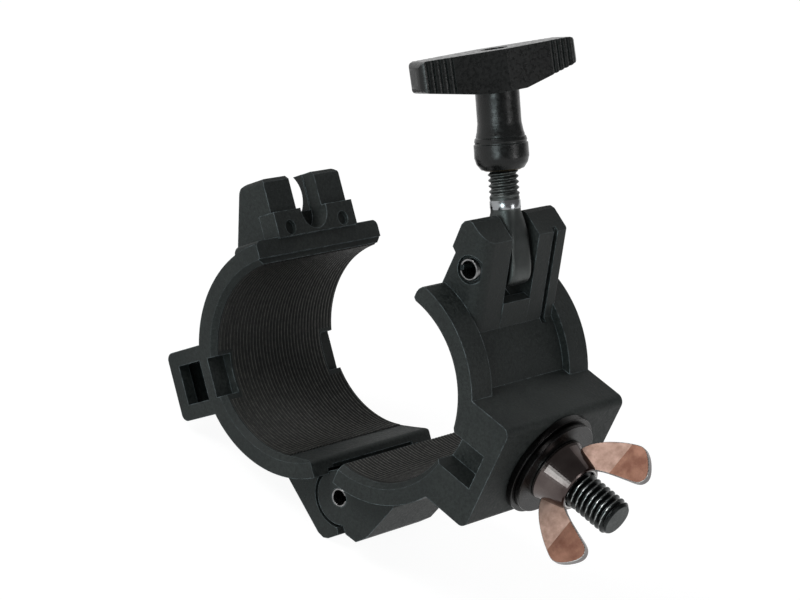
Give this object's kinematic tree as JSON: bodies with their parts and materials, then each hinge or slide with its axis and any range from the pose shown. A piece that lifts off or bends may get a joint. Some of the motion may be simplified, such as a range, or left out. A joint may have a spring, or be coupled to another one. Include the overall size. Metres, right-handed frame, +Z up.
{
  "type": "pipe clamp",
  "caption": "Hinged plastic pipe clamp, open, with a swing bolt and T-handle nut to close it and a threaded stud with washers and a wing nut.",
  "frame": {"origin": "centre of the pipe seat of the fixed jaw, at mid width", "axes": "+Y along the pipe, +X out along the mounting stud, +Z up towards the swing bolt clevis"},
  "size_m": [0.1328, 0.0484, 0.1404],
  "materials": {
    "nylon": "satin moulded glass-filled nylon, finely pebbled",
    "handle_plastic": "semi-gloss black moulding",
    "pin_steel": "bright rolled spring steel",
    "stud_steel": "black oxide",
    "washer_steel": "blackened",
    "zinc_steel": "dull zinc",
    "copper": "copper plated",
    "insert_brass": "turned"
  },
  "bodies": {
    "fixed_jaw": {"main_jaw": "nylon", "hinge_pin": "pin_steel", "swing_pin": "pin_steel", "mounting_bolt": "stud_steel"},
    "opening_jaw": {"hinged_jaw": "nylon"},
    "bolt": {"swing_bolt": "zinc_steel"},
    "handle_nut": {"handle_insert": "insert_brass"},
    "handle": {"t_handle": "handle_plastic"},
    "washers": {"backing_washer": "washer_steel", "flat_washer": "washer_steel"},
    "wing": {"wing_nut": "copper"}
  },
  "joints": [
    {"name": "jaw_hinge", "type": "hinge", "parent": "fixed_jaw", "child": "opening_jaw", "pos_m": [0.0003, 0, -0.0376], "axis": [0, -1, 0], "range_deg": [-46.3, 0.5]},
    {"name": "bolt_hinge", "type": "hinge", "parent": "fixed_jaw", "child": "bolt", "pos_m": [0.0068, 0, 0.038], "axis": [0, -1, 0], "range_deg": [-95, 36.5]},
    {"name": "handle_slide", "type": "slide", "parent": "bolt", "child": "handle_nut", "axis": [-0.549, 0, 0.8358], "range_m": [-0.006, 0.005]},
    {"name": "handle_spin", "type": "hinge", "parent": "handle_nut", "child": "handle", "pos_m": [-0.0083, 0, 0.06098], "axis": [-0.549, 0, 0.8358], "range_deg": [-1545, 1288]},
    {"name": "washer_slide", "type": "slide", "parent": "fixed_jaw", "child": "washers", "axis": [1, 0, 0], "range_m": [0, 0.008]},
    {"name": "wing_spin", "type": "hinge", "parent": "washers", "child": "wing", "pos_m": [0.0481, 0, 0], "axis": [1, 0, 0], "range_deg": [-1, 1802]}
  ],
  "couplings": [
    {"joint": "handle_spin", "follows": "handle_slide", "rad_per_m": 4488},
    {"joint": "wing_spin", "follows": "washer_slide", "rad_per_m": 3927}
  ]
}
